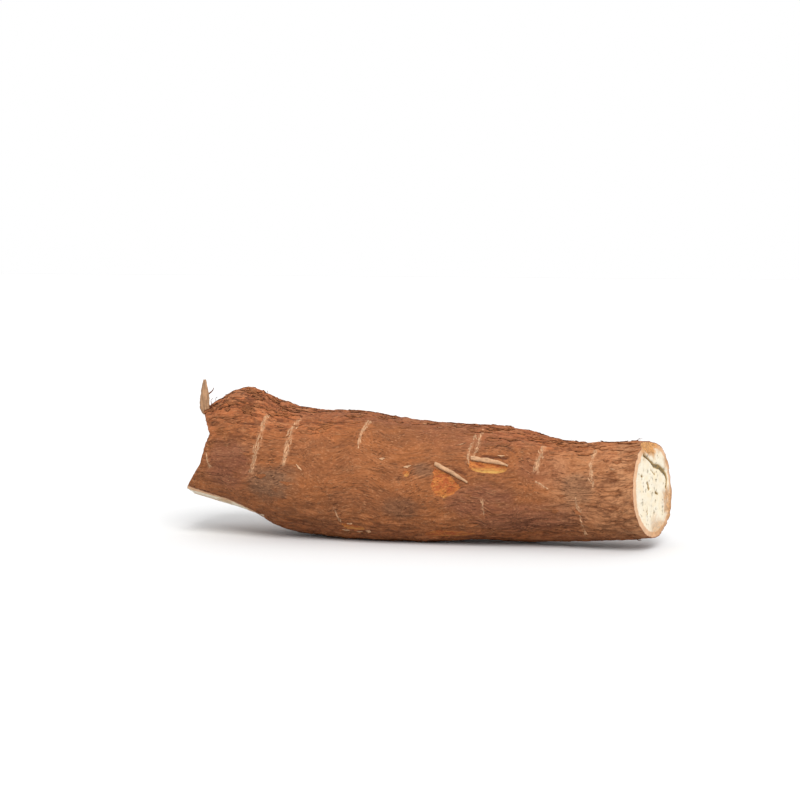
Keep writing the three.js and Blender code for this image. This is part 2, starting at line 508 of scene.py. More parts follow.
def bark_relief(skin, look):
    """Heights of the bark above the frame's surface in millimetres, and masks of what shows on it."""
    places = Places(skin)
    rough = places.strongest(ROUGH_PLACES)
    ridged = np.maximum(rough, places.strongest(RIDGED_PLACES))
    plain = 1 - 0.7 * places.strongest(SMOOTH_PLACES)
    sway = 2.2 * noise_at(places.points, 17, 12, 2, 61.0)
    swayed = places.points + np.stack([np.zeros(len(sway)), sway, sway], axis=1)
    lumps = noise_at(places.points, 46, 30, 1, 3.0)
    wrinkles = noise_at(swayed, 24, 2.8, 3, 7.0)
    fibres = noise_at(swayed, 12, 1.4, 2, 23.0)
    scales, scale_crack, tone = scaly_bark(places, swayed, ridged, plain, look.scale_step / MM)
    scar, cracks_and_curl_shadows = places.scars_and_cracks()
    # the crack mask also holds the painted shadow lines above the curls
    crack = np.maximum(scale_crack, cracks_and_curl_shadows)
    peel, sunk, yellow = places.peeled()
    chipped = places.chipped()

    bark = scales - 0.15 - 0.75 * rough + 0.10 * scar
    bark += look.wrinkle_height / MM * wrinkles * (0.6 + 1.0 * ridged)
    bark += look.fibre_height / MM * fibres * (0.8 + ridged)
    bark -= look.crack_depth / MM * crack * (0.4 + 0.8 * ridged)
    keep = 1 - np.maximum(peel, chipped)
    height = look.lump_height / MM * lumps + keep * bark
    height += 0.10 * peel * fibres - sunk - 0.9 * chipped

    masks = {
        "crack": crack * keep * (1 - 0.7 * scar),
        "tone": tone,
        "scar": scar * keep,
        "peel": peel,
        "yellow": yellow,
        "chipped": chipped,
        "stain": places.strongest(STAINS),
        # purple-brown zones, with painted shade along the top of the root
        "purple": places.strongest(PURPLE_AND_SHADE_PLACES),
        "rough": rough,
        "ridged": ridged,
        "pale_end": places.strongest(PALE_PLACES),
    }
    masks = {name: values.reshape(skin.radii.shape) for name, values in masks.items()}
    return height.reshape(skin.radii.shape), masks


# ---------------------------------------------------------------------------------------------
# The cut ends

# The sawn face: marks on it as (millimetres to the back, millimetres up) from its middle.
CREVICE = [
    (-11.8, 16.4, 0.3), (-4.4, 12.8, 0.45), (0.2, 9.8, 0.9), (6.9, 8.2, 1.25), (12.5, 5.6, 1.3),
    (15.3, 3.4, 1.0), (16.3, 0.8, 0.8), (15.0, -2.6, 0.9),
]
# Discoloured places as (middle, half length, half height, strength).
OCHRE_SPOTS = [
    ((-2.5, 20.4), 13, 6.4, 1.0),
    ((17.5, -12), 8.5, 10, 0.85),
    ((6, -22), 16, 6, 0.6),
    ((17, 11), 5, 4, 0.6),
]
# Dark marks as (from, to, width) in the same places.
MARKS = [
    ((-8.6, 1.6), (-7.6, -1.2), 1.0),
    ((0.2, -3.6), (3.6, -5.0), 0.5),
    ((-11.4, -11.0), (-10.8, -13.6), 0.3),
    ((-3.6, 7.8), (1.8, 4.6), 0.1),
    ((-15.6, 6.4), (-14.4, 5.6), 0.3),
    ((-3.0, -13.0), (-2.0, -14.5), 0.2),
]


def line_distance(across, up, corners):
    """Distance to a line of corners in a face's own plane, and the line's width there."""
    nearest = np.full(across.shape, 1e3)
    width = np.zeros(across.shape)
    for (a_x, a_y, a_wide), (b_x, b_y, b_wide) in zip(corners, corners[1:]):
        run, rise = b_x - a_x, b_y - a_y
        share = np.clip(((across - a_x) * run + (up - a_y) * rise) / (run * run + rise * rise), 0, 1)
        away = np.hypot(across - a_x - share * run, up - a_y - share * rise)
        width = np.where(away < nearest, a_wide + (b_wide - a_wide) * share, width)
        nearest = np.minimum(nearest, away)
    return nearest, width


def ring_shares(rings):
    """How far each ring of a cut end lies from the rim (0) to the middle (1), closer near the rim."""
    return (np.arange(1, rings + 1) / rings) ** 1.25


def sawn_end(skin, rim, rings):
    """Rings of points over the sawn face and their masks."""
    cut = max(skin.surface.cuts, key=lambda c: c["normal"].x)
    normal = np.array(cut["normal"])
    middle = rim.mean(axis=0)
    share = ring_shares(rings)[:, None, None]
    points = rim[None] * (1 - share) + middle[None, None] * share
    inset = np.linalg.norm(points - rim[None], axis=2) * 1000
    short = cut["reach"] - points @ normal
    slope = 2.0 + 1500 * (cut["reach"] - rim @ normal)
    points = points + normal[None, None] * (short * smooth_step(0.0, slope, inset))[:, :, None]
    to_back = np.array([-normal[1], normal[0], 0.0])
    to_back /= np.linalg.norm(to_back)
    up_way = np.cross(normal, to_back)
    up_way *= np.sign(up_way[2])
    across = (points - middle) @ to_back * 1000
    up = (points - middle) @ up_way * 1000
    flat = points.reshape(-1, 3) * 1000
    shape = across.shape
    rough = noise_at(flat, 3.2, 3.2, 3, 5.0).reshape(shape)
    waves = noise_at(flat, 11, 11, 2, 15.0).reshape(shape)
    strokes = np.sin((up * 0.9 + across * 0.35 + 1.6 * waves) * 1.7)
    gap, wide = line_distance(across, up, CREVICE)
    crevice = smooth_step(wide + 0.5, wide * 0.4, gap + 0.3 * rough)
    beyond = np.interp(across, [x for x, _, _ in CREVICE[:5]], [y for _, y, _ in CREVICE[:5]])
    flap = smooth_step(-0.4, 0.8, up - beyond) * smooth_step(-18, -12, across)
    for start, end, width in MARKS:
        gap, _ = line_distance(across, up, [(*start, 0.0), (*end, 0.0)])
        crevice = np.maximum(crevice, smooth_step(width + 0.45, width * 0.5, gap + 0.25 * rough))
    ochre = np.zeros(shape)
    for (spot_across, spot_up), broad, tall, strength in OCHRE_SPOTS:
        away = np.hypot((across - spot_across) / broad, (up - spot_up) / tall)
        away += 0.35 * waves + 0.25 * rough
        ochre = np.maximum(ochre, strength * smooth_step(1.35, 0.50, away))
    settle = smooth_step(0.0, 1.0, inset)
    height = settle * (0.14 * rough + 0.22 * waves + 0.05 * strokes + 0.22 * flap) - 1.0 * crevice
    height -= 0.28 * smooth_step(3.0, 4.2, inset)
    height -= 0.35 * ochre * settle * (0.6 + rough)
    points = points + normal[None, None] * height[:, :, None] * MM
    return points, {"inset": inset, "crevice": crevice, "ochre": ochre}


def hacked_end(skin, rim, rings):
    """Rings of points over the hacked faces and their masks."""
    cuts = [c for c in skin.surface.cuts if c["normal"].x < 0]
    facing = sum((c["normal"] * c["area"] for c in cuts), Vector()).normalized()
    away = np.array(facing)
    middle = rim.mean(axis=0)
    share = ring_shares(rings)[:, None, None]
    base = rim[None] * (1 - share) + middle[None, None] * share
    lift = np.zeros(base.shape[:2])
    for ring in range(rings):
        for column in range(base.shape[1]):
            below = Vector(base[ring, column])
            place = skin.surface.tree.ray_cast(below + facing * LOOK_FROM, -facing)[0]
            if place is not None and not skin.surface.on_sliver(*place):
                lift[ring, column] = (place - below).dot(facing)
            elif ring > 0:
                lift[ring, column] = lift[ring - 1, column]
    lift[-1] = lift[-1].mean()
    points = base + away[None, None] * lift[:, :, None]
    inset = np.linalg.norm(base - rim[None], axis=2) * 1000
    flat = points.reshape(-1, 3) * 1000
    shape = inset.shape
    rough = noise_at(flat, 2.6, 2.6, 3, 105.0).reshape(shape)
    waves = noise_at(flat, 12, 9, 2, 115.0).reshape(shape)
    chops = noise_at(flat * np.array([0.6, 0.12, 1.0]), 2.2, 2.2, 2, 125.0).reshape(shape)
    settle = smooth_step(0.0, 1.2, inset)
    height = settle * (0.16 * rough + 0.35 * waves + 0.3 * chops)
    height -= 0.3 * smooth_step(2.8, 4.0, inset)
    points = points + away[None, None] * height[:, :, None] * MM
    ochre = smooth_step(0.15, 0.5, waves) * 0.6
    return points, {"inset": inset, "crevice": np.zeros(shape), "ochre": ochre}


# ---------------------------------------------------------------------------------------------
# Shader maths


# The colour sockets of a Mix node, which share their names with its other sockets.
MIX_FIRST, MIX_SECOND, MIX_RESULT = 6, 7, 2


class Wire:
    """A shader socket that ordinary Python arithmetic works on."""

    def __init__(self, paint, socket):
        self.paint = paint
        self.socket = socket

    def maths(self, operation, first, second):
        return self.paint.node("ShaderNodeMath", {"operation": operation}, {0: first, 1: second})

    def __add__(self, other):
        return self.maths("ADD", self, other)

    def __radd__(self, other):
        return self.maths("ADD", other, self)

    def __sub__(self, other):
        return self.maths("SUBTRACT", self, other)

    def __rsub__(self, other):
        return self.maths("SUBTRACT", other, self)

    def __mul__(self, other):
        return self.maths("MULTIPLY", self, other)

    def __rmul__(self, other):
        return self.maths("MULTIPLY", other, self)

    def between(self, low, high):
        """0 at low, 1 at high and a smooth rise between; low may be the larger."""
        settings = {"interpolation_type": "SMOOTHSTEP"}
        return self.paint.node(
            "ShaderNodeMapRange", settings, {"Value": self, "From Min": low, "From Max": high}
        )

    def larger(self, other):
        return self.maths("MAXIMUM", self, other)


class Paint:
    """A material and the nodes that colour it."""

    def __init__(self, name):
        self.material = bpy.data.materials.new(name)
        self.material.use_nodes = True
        self.tree = self.material.node_tree
        self.shader = self.tree.nodes["Principled BSDF"]
        self.ground = self.place()

    def node(self, kind, settings=None, sockets=None, output=0):
        """A new node: its settings first, then the values or wires of its sockets."""
        node = self.tree.nodes.new(kind)
        for name, value in (settings or {}).items():
            setattr(node, name, value)
        for name, value in (sockets or {}).items():
            self.feed(node.inputs[name], value)
        return Wire(self, node.outputs[output])

    def feed(self, socket, value):
        if isinstance(value, Wire):
            self.tree.links.new(value.socket, socket)
        elif socket.type == "RGBA" and len(value) == 3:
            socket.default_value = (*value, 1.0)
        else:
            socket.default_value = value

    def set(self, name, value):
        self.feed(self.shader.inputs[name], value)

    def vector(self, operation, sockets):
        return self.node("ShaderNodeVectorMath", {"operation": operation}, sockets)

    def place(self):
        return self.node("ShaderNodeTexCoord", output="Object")

    def swayed_place(self, lumps, push):
        """Object places pushed about in lumps of that many millimetres, by up to push millimetres."""
        point = self.place()
        slow = {"Vector": point, "Scale": 1000 / lumps, "Detail": 1.0}
        push_way = self.node("ShaderNodeTexNoise", None, slow, output="Color")
        centred = self.vector("SUBTRACT", {0: push_way, 1: (0.5, 0.5, 0.5)})
        sized = self.vector("SCALE", {"Vector": centred, "Scale": push * 2 * MM})
        return self.vector("ADD", {0: point, 1: sized})

    def stretched(self, length, width, shift):
        """Object places with cells that long along X and that wide across it, in millimetres."""
        stretch = (1000 / length, 1000 / width, 1000 / width)
        return self.node(
            "ShaderNodeMapping", None,
            {"Vector": self.ground, "Location": (shift, shift, shift), "Scale": stretch},
        )

    def grain(self, length, width, detail=2.0, rough=0.5, shift=0.0, warp=0.0):
        """Noise from 0 to 1 with lumps that long along X and that wide across it, in millimetres."""
        point = self.stretched(length, width, shift)
        return self.node(
            "ShaderNodeTexNoise", None,
            {"Vector": point, "Scale": 1.0, "Detail": detail, "Roughness": rough, "Distortion": warp},
        )

    def marks(self, length, width, share, shift=0.0, sway=0.5):
        """1 inside short marks that long along X and that wide, in that share of places."""
        reach = 0.3
        point = self.stretched(length / (2 * reach), width / (2 * reach), shift)
        moved = self.node("ShaderNodeTexNoise", None, {"Vector": point, "Scale": 0.7}, output="Color")
        moved = self.vector("SCALE", {"Vector": moved, "Scale": sway})
        point = self.vector("ADD", {0: point, 1: moved})
        near = self.node("ShaderNodeTexVoronoi", None, {"Vector": point, "Scale": 1.0})
        colour = Wire(self, near.socket.node.outputs["Color"])
        chance = self.node("ShaderNodeSeparateColor", None, {"Color": colour})
        return near.between(reach, 0.45 * reach) * chance.between(0.98 - share, 1.02 - share)

    def mask(self, name):
        """A value kept on the mesh's points."""
        return self.node("ShaderNodeAttribute", {"attribute_name": name}, output="Fac")

    def mix(self, share, first, second):
        """A colour: first where share is 0, second where it is 1."""
        return self.node(
            "ShaderNodeMix", {"data_type": "RGBA"},
            {"Factor": share, MIX_FIRST: first, MIX_SECOND: second}, output=MIX_RESULT,
        )

    def bump(self, height, distance, strength=1.0):
        """Raises the surface by height times distance in metres."""
        normal = self.node(
            "ShaderNodeBump", None, {"Height": height, "Distance": distance, "Strength": strength}
        )
        self.set("Normal", normal)


def tint(colour, share):
    """A colour made lighter (share over 1) or darker."""
    return tuple(channel * share for channel in colour)


def bark_paint(look):
    """Matte brown bark: mottled, finely fibrous, cracked lengthwise, with scars and peeled places,
    painted shade in its cracks, under its ridges and along its top, and painted highlights on flake
    edges.
    """
    paint = Paint("cassava_bark")
    paint.ground = paint.swayed_place(24, 7)
    brown, pale = look.bark, look.bark_pale
    rough, ridged = paint.mask("rough"), paint.mask("ridged")
    blotch = paint.grain(24, 15, 3, 0.6, 3.0)
    mottle = paint.grain(8, 4, 4, 0.65, 9.0)
    fleck = paint.grain(1.6, 0.8, 3, 0.6, 17.0)
    fibre = paint.grain(7, 0.5, 3, 0.6, 27.0, 0.4)
    colour = paint.mix(blotch.between(0.38, 0.66), tint(brown, 0.86), look.bark_warm)
    colour = paint.mix(mottle.between(0.46, 0.72) * 0.60, colour, tint(brown, 1.45))
    colour = paint.mix(mottle.between(0.50, 0.30) * 0.50, colour, tint(brown, 0.56))
    colour = paint.mix(rough * 0.68, colour, look.bark_red)
    patchily = mottle.between(0.2, 0.55)
    # Purple-brown zones, and painted shade along the top of the root
    colour = paint.mix(paint.mask("purple") * patchily * 0.75, colour, look.bark_purple_and_shade)
    colour = paint.mix(paint.mask("stain") * patchily * 0.85, colour, look.bark_grey)
    colour = paint.mix(paint.mask("pale_end") * mottle.between(0.30, 0.60) * 0.75, colour, pale)
    tone = paint.mask("tone")
    colour = paint.mix(tone.between(0.45, 0.15) * (0.12 + 0.3 * ridged), colour, tint(brown, 0.55))
    colour = paint.mix(tone.between(0.55, 0.9) * (0.10 + 0.3 * rough), colour, pale)
    colour = paint.mix(fibre.between(0.50, 0.30) * 0.30, colour, tint(brown, 0.42))
    colour = paint.mix(fibre.between(0.55, 0.78) * 0.30, colour, pale)
    # Pale flecks: partly paler dry flake tips, partly painted highlight on them.
    colour = paint.mix(fleck.between(0.54, 0.72) * 0.50, colour, pale)
    colour = paint.mix(fleck.between(0.46, 0.30) * 0.45, colour, tint(brown, 0.36))
    # Dark dashes and cracks in the crack colour: partly the bark's own dark cracks, partly painted shade
    # in the cracks and beneath lifted ridges and flake edges.
    thin = paint.marks(11, 0.5, 0.7, 37.0, 0.8)
    long = paint.marks(22, 0.8, 0.8, 57.0, 0.7)
    light = paint.marks(5, 0.6, 0.35, 77.0)
    short = paint.marks(4.5, 0.5, 0.5, 97.0)
    busy = paint.grain(30, 16, 1, 0.5, 47.0).between(0.38, 0.62)
    dashes = (thin * (0.25 + 0.30 * busy + 0.25 * ridged)).larger(short * (0.15 + 0.35 * busy))
    dashes = dashes.larger(long * (0.05 + 0.20 * busy + 0.60 * ridged))
    # Pale short marks: partly pale flake edges, partly painted highlight on them.
    colour = paint.mix(light * 0.45, colour, pale)
    cracks = (paint.mask("crack") * fleck.between(0.1, 0.45)).larger(dashes)
    colour = paint.mix(cracks * 0.85, colour, look.crack)
    strands = paint.grain(0.5, 3.5, 2, 0.6, 87.0)
    scar = paint.mask("scar") * strands.between(0.40, 0.62)
    colour = paint.mix(scar * 0.65, colour, look.scar)
    peel = (paint.mask("peel") + 0.25 * fleck - 0.12).between(0.4, 0.6)
    patchy = paint.grain(3.5, 2.0, 3, 0.6, 107.0)
    bared = paint.mix(patchy.between(0.40, 0.60), look.peeled, look.peeled_dark)
    bared = paint.mix(paint.mask("yellow") * patchy.between(0.3, 0.5), bared, look.peeled_yellow)
    bared = paint.mix(fleck.between(0.55, 0.70) * 0.4, bared, look.peeled_yellow)
    bared = paint.mix(fibre.between(0.50, 0.3) * 0.75, bared, tint(look.peeled_dark, 0.45))
    colour = paint.mix(peel, colour, bared)
    chipped = (paint.mask("chipped") + 0.3 * fleck - 0.15).between(0.35, 0.6)
    colour = paint.mix(chipped, colour, paint.mix(mottle.between(0.3, 0.7), look.rind, look.flesh))
    paint.set("Base Color", colour)
    paint.set("Roughness", 0.80 - 0.22 * peel + 0.1 * fibre)
    paint.set("Specular IOR Level", 0.18)
    height = 0.5 * fibre + 0.45 * fleck + 0.5 * mottle - 0.9 * dashes - 0.3 * cracks + 0.5 * light
    paint.bump(height, 0.0006, 1.0)
    return paint.material


def flesh_paint(look):
    """Cut starchy flesh inside a thin pinkish rind, with a thread of brown bark at its rim."""
    paint = Paint("cassava_flesh")
    inset = paint.mask("inset")
    soft = paint.grain(5, 5, 3, 0.6, 2.0)
    fine = paint.grain(1.1, 1.1, 3, 0.6, 12.0)
    flesh = paint.mix(soft.between(0.35, 0.7) * 0.7, look.flesh, look.flesh_warm)
    dots = paint.marks(1.4, 1.4, 0.55, 4.0, 0.9) * inset.between(4.0, 5.5)
    spots = paint.marks(1.8, 2.4, 0.32, 14.0, 0.9) * inset.between(5.0, 6.5)
    flesh = paint.mix(dots * 0.38, flesh, look.vein)
    flesh = paint.mix(spots * 0.40, flesh, look.vein)
    rind = paint.mix(soft.between(0.3, 0.7), look.rind, tint(look.rind, 0.86))
    wander = inset + 0.9 * soft - 0.45 + 0.5 * fine - 0.25
    ring = wander.between(2.5, 2.9) - wander.between(2.9, 3.5)
    colour = paint.mix(wander.between(2.6, 3.2), rind, flesh)
    colour = paint.mix(ring * 0.35, colour, look.ring)
    stained = paint.mix(fine.between(0.38, 0.62), tint(look.ochre, 0.72), tint(look.ochre, 1.3))
    colour = paint.mix(paint.mask("ochre") * soft.between(0.10, 0.48), colour, stained)
    crevice = paint.mask("crevice")
    colour = paint.mix(crevice.between(0.1, 0.7), colour, look.crevice)
    deep = crevice.between(0.6, 1.0) * fine.between(0.3, 0.6)
    colour = paint.mix(deep, colour, tint(look.vein, 0.62))
    edge = (inset + 0.7 * fine - 0.35).between(0.55, 0.2)
    colour = paint.mix(edge, colour, tint(look.bark, 0.8))
    paint.set("Base Color", colour)
    paint.set("Roughness", 0.55 + 0.2 * soft)
    paint.set("Specular IOR Level", 0.35)
    paint.bump(0.6 * fine + 0.5 * soft - 0.8 * dots - 1.2 * spots, 0.0006, 0.9)
    return paint.material


def dry_bark_paint(look):
    """The dry tan underside of loosened bark: fibrous and mottled, with darker fibres."""
    paint = Paint("cassava_dry_bark")
    fibre = paint.grain(5, 0.5, 3, 0.6, 6.0, 0.3)
    mottle = paint.grain(3, 2, 3, 0.6, 16.0)
    pale = look.dry_bark
    colour = paint.mix(mottle.between(0.35, 0.7), pale, tint(pale, 0.72))
    colour = paint.mix(fibre.between(0.5, 0.3) * 0.6, colour, tint(pale, 0.45))
    paint.set("Base Color", colour)
    paint.set("Roughness", 0.75 + 0.15 * fibre)
    paint.set("Specular IOR Level", 0.3)
    paint.bump(0.7 * fibre + 0.3 * mottle, 0.0003, 0.8)
    return paint.material


def scar_paint(look):
    """Pale corky fibres of an old scar."""
    paint = Paint("cassava_scar")
    mottle = paint.grain(2, 2, 3, 0.6, 8.0)
    colour = paint.mix(mottle.between(0.35, 0.65), look.scar, tint(look.scar, 0.55))
    paint.set("Base Color", colour)
    paint.set("Roughness", 0.75 + 0.15 * mottle)
    paint.set("Specular IOR Level", 0.15)
    paint.bump(mottle, 0.0003, 0.6)
    return paint.material


def sliver_paint(look):
    """Torn bark seen from its dry inner side, its fibres running up the sliver."""
    paint = Paint("cassava_sliver")
    stretch = {"Vector": paint.place(), "Scale": (1600, 1600, 160)}
    point = paint.node("ShaderNodeMapping", None, stretch)
    fibre = paint.node("ShaderNodeTexNoise", None, {"Vector": point, "Scale": 1.0, "Detail": 3.0})
    mottle = paint.grain(3, 3, 3, 0.6, 26.0)
    tan = look.dry_bark
    colour = paint.mix(fibre.between(0.35, 0.65), tint(tan, 0.45), tint(tan, 0.82))
    colour = paint.mix(mottle.between(0.55, 0.35) * 0.5, colour, tint(tan, 0.4))
    paint.set("Base Color", colour)
    paint.set("Roughness", 0.7 + 0.2 * fibre)
    paint.set("Specular IOR Level", 0.2)
    paint.bump(fibre, 0.0004, 0.9)
    return paint.material


def hair_paint(look):
    """Dark dry root threads."""
    paint = Paint("cassava_hair")
    mottle = paint.grain(1.5, 1.5, 2, 0.5, 66.0)
    dark = look.crack
    colour = paint.mix(mottle.between(0.35, 0.65), tint(dark, 1.0), tint(dark, 2.6))
    paint.set("Base Color", colour)
    paint.set("Roughness", 0.6 + 0.2 * mottle)
    paint.set("Specular IOR Level", 0.2)
    return paint.material


# ---------------------------------------------------------------------------------------------
# Mesh helpers


def deselect_all():
    """Object mode with nothing selected."""
    if bpy.context.object and bpy.context.object.mode != "OBJECT":
        bpy.ops.object.mode_set(mode="OBJECT")
    bpy.ops.object.select_all(action="DESELECT")


def make_active(piece):
    """Only this piece selected and active."""
    deselect_all()
    piece.select_set(True)
    bpy.context.view_layer.objects.active = piece


def finish_piece(piece, name, paints):
    """Names a piece, gives it its materials and lets it ride on the root."""
    piece.name = name
    piece.data.name = name
    for paint in paints:
        piece.data.materials.append(paint)
    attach(piece, BODY)


def keep_mask(mesh, name, values):
    """Keeps a value for each point of a mesh, which materials read by its name."""
    layer = mesh.attributes.new(name, "FLOAT", "POINT")
    layer.data.foreach_set("value", np.ascontiguousarray(values, dtype=np.float32).reshape(-1))


ROOT = {}  # the skin that later pieces are laid on


class CASSAVA_OT_root(bpy.types.Operator):
    """Lays the bark and the cut ends on the root's own surface"""

    bl_idname = "cassava.root"
    bl_label = "Root"

    def execute(self, context):
        look = context.scene.cassava_bark
        surface = FrameSurface(look.axis_height)
        skin = Skin(surface, look.rows, look.columns)
        height, masks = bark_relief(skin, look)
        normals = grid_normals(skin.points)
        bark = skin.points + normals * height[:, :, None] * MM
        left, left_masks = hacked_end(skin, bark[0], look.end_rings)
        right, right_masks = sawn_end(skin, bark[-1], look.end_rings)
        points = np.concatenate([left[::-1], bark, right])
        points[0] = points[0].mean(axis=0)
        points[-1] = points[-1].mean(axis=0)
        points[:, :, 2] = np.maximum(points[:, :, 2], 0.0)
        piece = self.wrap(points)
        mesh = piece.data
        for name, values in masks.items():
            whole = np.concatenate([np.zeros(left.shape[:2]), values, np.zeros(right.shape[:2])])
            keep_mask(mesh, name, self.with_seam(whole))
        for name in ("inset", "crevice", "ochre"):
            whole = np.concatenate(
                [left_masks[name][::-1], np.zeros(height.shape), right_masks[name]]
            )
            keep_mask(mesh, name, self.with_seam(whole))
        colours = context.scene.cassava_colours
        finish_piece(piece, "root_body", [bark_paint(colours), flesh_paint(colours)])
        self.mark_cut_faces(mesh, points.shape, look.end_rings)
        self.close(piece)
        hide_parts(NODE)
        ROOT["skin"], ROOT["bark"], ROOT["normals"], ROOT["masks"] = skin, bark, normals, masks
        ROOT["left"], ROOT["right"] = left, right
        return {"FINISHED"}

    def with_seam(self, grid):
        """The grid with its first column again at the end, which is how the sheet meets itself."""
        return np.concatenate([grid, grid[:, :1]], axis=1)

    def wrap(self, points):
        """A flat sheet of squares rolled round the root."""
        rows, columns = points.shape[0] - 1, points.shape[1]
        deselect_all()
        bpy.ops.mesh.primitive_grid_add(x_subdivisions=columns, y_subdivisions=rows, size=1)
        sheet = bpy.context.object
        mesh = sheet.data
        flat = np.empty(len(mesh.vertices) * 3)
        mesh.vertices.foreach_get("co", flat)
        flat = flat.reshape(-1, 3)
        column = np.rint((flat[:, 0] + 0.5) * columns).astype(int)
        row = np.rint((flat[:, 1] + 0.5) * rows).astype(int)
        if not np.array_equal(row * (columns + 1) + column, np.arange(len(flat))):
            raise RuntimeError("the sheet's points are not in rows")
        mesh.vertices.foreach_set("co", self.with_seam(points).reshape(-1))
        mesh.uv_layers[0].name = "OFBake"
        return sheet

    def mark_cut_faces(self, mesh, shape, rings):
        """The flesh's material on the end rings, and a sharp edge between them and the bark."""
        columns = shape[1]
        faces = np.arange(len(mesh.polygons)) // columns
        cut = (faces < rings) | (faces >= shape[0] - 1 - rings)
        mesh.polygons.foreach_set("material_index", cut.astype(np.int32))
        mesh.polygons.foreach_set("use_smooth", np.ones(len(cut), dtype=bool))
        ends = np.empty(len(mesh.edges) * 2, dtype=np.int32)
        mesh.edges.foreach_get("vertices", ends)
        rows = ends.reshape(-1, 2) // (columns + 1)
        rim = (rows[:, 0] == rows[:, 1]) & ((rows[:, 0] == rings) | (rows[:, 0] == shape[0] - 1 - rings))
        layer = mesh.attributes.new("sharp_edge", "BOOLEAN", "EDGE")
        layer.data.foreach_set("value", rim)

    def close(self, piece):
        """Joins the sheet to itself along its seam and at the middle of each end."""
        make_active(piece)
        bpy.ops.object.mode_set(mode="EDIT")
        bpy.ops.mesh.select_all(action="SELECT")
        bpy.ops.mesh.remove_doubles(threshold=2e-6)
        bpy.ops.mesh.normals_make_consistent(inside=False)
        bpy.ops.object.mode_set(mode="OBJECT")


# ---------------------------------------------------------------------------------------------
# Pieces laid on the bark


def on_bark(along, turn, out):
    """Points on the finished bark at places in millimetres and turns in degrees, that far out."""
    skin = ROOT["skin"]
    rows, columns = skin.along.shape
    along, turn, out = np.broadcast_arrays(along, turn, np.asarray(out, dtype=float))
    column = (turn - SEAM_TURN) % 360 / 360 * columns
    first = np.floor(column).astype(int) % columns
    second = (first + 1) % columns
    across = (column - np.floor(column))[..., None]
    left = skin.along[0, first] * (1 - across[..., 0]) + skin.along[0, second] * across[..., 0]
    right = skin.along[-1, first] * (1 - across[..., 0]) + skin.along[-1, second] * across[..., 0]
    row = np.clip((along * MM - left) / (right - left) * (rows - 1), 0, rows - 1.001)
    upper = np.floor(row).astype(int)
    part = (row - upper)[..., None]

    def blend(grid):
        near = grid[upper, first] * (1 - across) + grid[upper, second] * across
        far = grid[upper + 1, first] * (1 - across) + grid[upper + 1, second] * across
        return near * (1 - part) + far * part

    return blend(ROOT["bark"]) + blend(ROOT["normals"]) * out[..., None] * MM


def mask_at(name, along, turn):
    """The value of a mask of the bark at one place."""
    skin = ROOT["skin"]
    rows, columns = skin.along.shape
    column = int((turn - SEAM_TURN) % 360 / 360 * columns) % columns
    left, right = skin.along[0, column], skin.along[-1, column]
    row = int(np.clip((along * MM - left) / (right - left) * (rows - 1), 0, rows - 1))
    return ROOT["masks"][name][row, column]


def meets_floor(along, turn):
    """Whether the bark there is so low that anything laid on it would run into the floor."""
    return on_bark(along, turn, 0.0)[2] < 2.0 * MM


def corners_of(piece):
    """The piece's own points as rows of x, y, z."""
    flat = np.empty(len(piece.data.vertices) * 3)
    piece.data.vertices.foreach_get("co", flat)
    return flat.reshape(-1, 3)


def put_corners(piece, points):
    """Moves the piece's own points to rows of x, y, z."""
    piece.data.vertices.foreach_set("co", np.ascontiguousarray(points).reshape(-1))
    piece.data.update()


def select_points(piece, wanted):
    """Selects in edit mode the points whose places are wanted."""
    mesh = bmesh.from_edit_mesh(piece.data)
    for vert in mesh.verts:
        vert.select_set(bool(wanted(vert.co)))
    mesh.select_flush_mode()
    bmesh.update_edit_mesh(piece.data)


def thicken(piece, thickness):
    """Gives a sheet a wall on its inner side."""
    make_active(piece)
    wall = piece.modifiers.new("wall", "SOLIDIFY")
    wall.thickness = thickness
    wall.offset = -1
    bpy.ops.object.modifier_apply(modifier=wall.name)


def face_outwards(piece):
    """Merges doubled points and turns every face outwards."""
    make_active(piece)
    bpy.ops.object.mode_set(mode="EDIT")
    bpy.ops.mesh.select_all(action="SELECT")
    bpy.ops.mesh.remove_doubles(threshold=1e-6)
    bpy.ops.mesh.normals_make_consistent(inside=False)
    bpy.ops.object.mode_set(mode="OBJECT")


def flake_template(steps, lifted):
    """A chip of bark from -1 to 1 along and across: pointed ends, one long edge lifted, 1 thick."""
    deselect_all()
    bpy.ops.mesh.primitive_grid_add(x_subdivisions=steps, y_subdivisions=2, size=2)
    chip = bpy.context.object
    bpy.ops.object.mode_set(mode="EDIT")
    for step in range(steps + 1):
        along = 2 * step / steps - 1
        select_points(chip, lambda place: abs(place.x - along) < 1e-4)
        slim = max(0.06, (1 - abs(along) ** 2.5) ** 0.7)
        bpy.ops.transform.resize(value=(1, slim, 1))
        select_points(chip, lambda place: abs(place.x - along) < 1e-4 and place.y < -1e-4)
        bpy.ops.transform.translate(value=(0, 0, lifted * slim))
        select_points(chip, lambda place: abs(place.x - along) < 1e-4 and abs(place.y) < 1e-4)
        bpy.ops.transform.translate(value=(0, 0, 0.45 * lifted * slim))
    bpy.ops.object.mode_set(mode="OBJECT")
    thicken(chip, 1.0)
    face_outwards(chip)
    return chip


def copy_of(template):
    """A copy of a piece, with a mesh of its own."""
    copy = template.copy()
    copy.data = template.data.copy()
    bpy.context.collection.objects.link(copy)
    return copy


